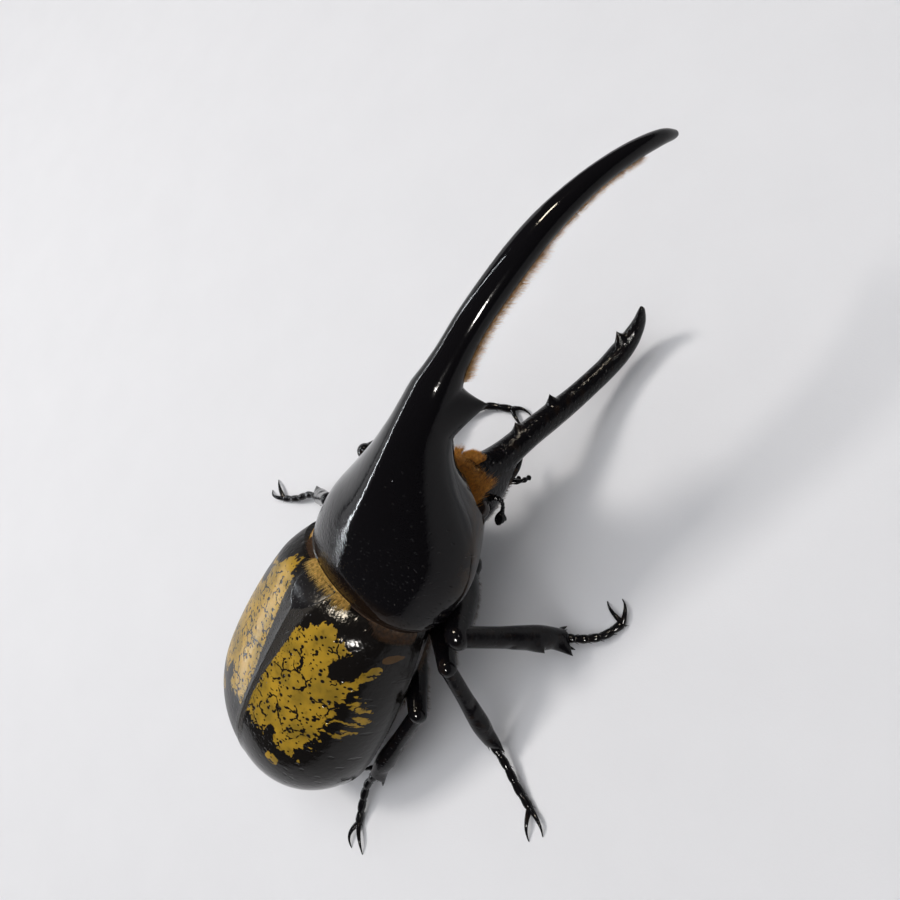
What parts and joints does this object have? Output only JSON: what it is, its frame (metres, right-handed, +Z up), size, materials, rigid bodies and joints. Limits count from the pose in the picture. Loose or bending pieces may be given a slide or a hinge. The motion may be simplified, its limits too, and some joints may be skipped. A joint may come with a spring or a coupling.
{
  "type": "hercules beetle",
  "caption": "Life-size male hercules beetle standing on six legs, with a long horn over a shorter head horn.",
  "frame": {"origin": "middle of the bounding box at floor level, under the beetle", "axes": "+X towards the tips of the horns, +Y to the beetle's left, +Z up"},
  "size_m": [0.1518, 0.113, 0.0667],
  "materials": {
    "black_shell": "glossy",
    "elytron_ochre": "satin",
    "belly_brown": "satin",
    "leg_black": "glossy",
    "eye_brown": "glossy"
  },
  "bodies": {
    "root": {"pronotum": "black_shell", "thoracic_horn": "black_shell", "head": "black_shell", "cephalic_horn": "black_shell", "antenna_left": "black_shell", "antenna_right": "black_shell", "mouthparts": "black_shell", "scutellum": "black_shell", "elytron_left": "elytron_ochre", "elytron_right": "elytron_ochre", "abdomen": "belly_brown", "thorax": "belly_brown", "eye_left": "eye_brown", "eye_right": "eye_brown", "coxa_front_left": "leg_black", "femur_front_left": "leg_black", "tibia_front_left": "leg_black", "tarsus_front_left": "leg_black", "coxa_front_right": "leg_black", "femur_front_right": "leg_black", "tibia_front_right": "leg_black", "tarsus_front_right": "leg_black", "coxa_middle_left": "leg_black", "femur_middle_left": "leg_black", "tibia_middle_left": "leg_black", "tarsus_middle_left": "leg_black", "coxa_middle_right": "leg_black", "femur_middle_right": "leg_black", "tibia_middle_right": "leg_black", "tarsus_middle_right": "leg_black", "coxa_hind_left": "leg_black", "femur_hind_left": "leg_black", "tibia_hind_left": "leg_black", "tarsus_hind_left": "leg_black", "coxa_hind_right": "leg_black", "femur_hind_right": "leg_black", "tibia_hind_right": "leg_black", "tarsus_hind_right": "leg_black"}
  },
  "joints": []
}
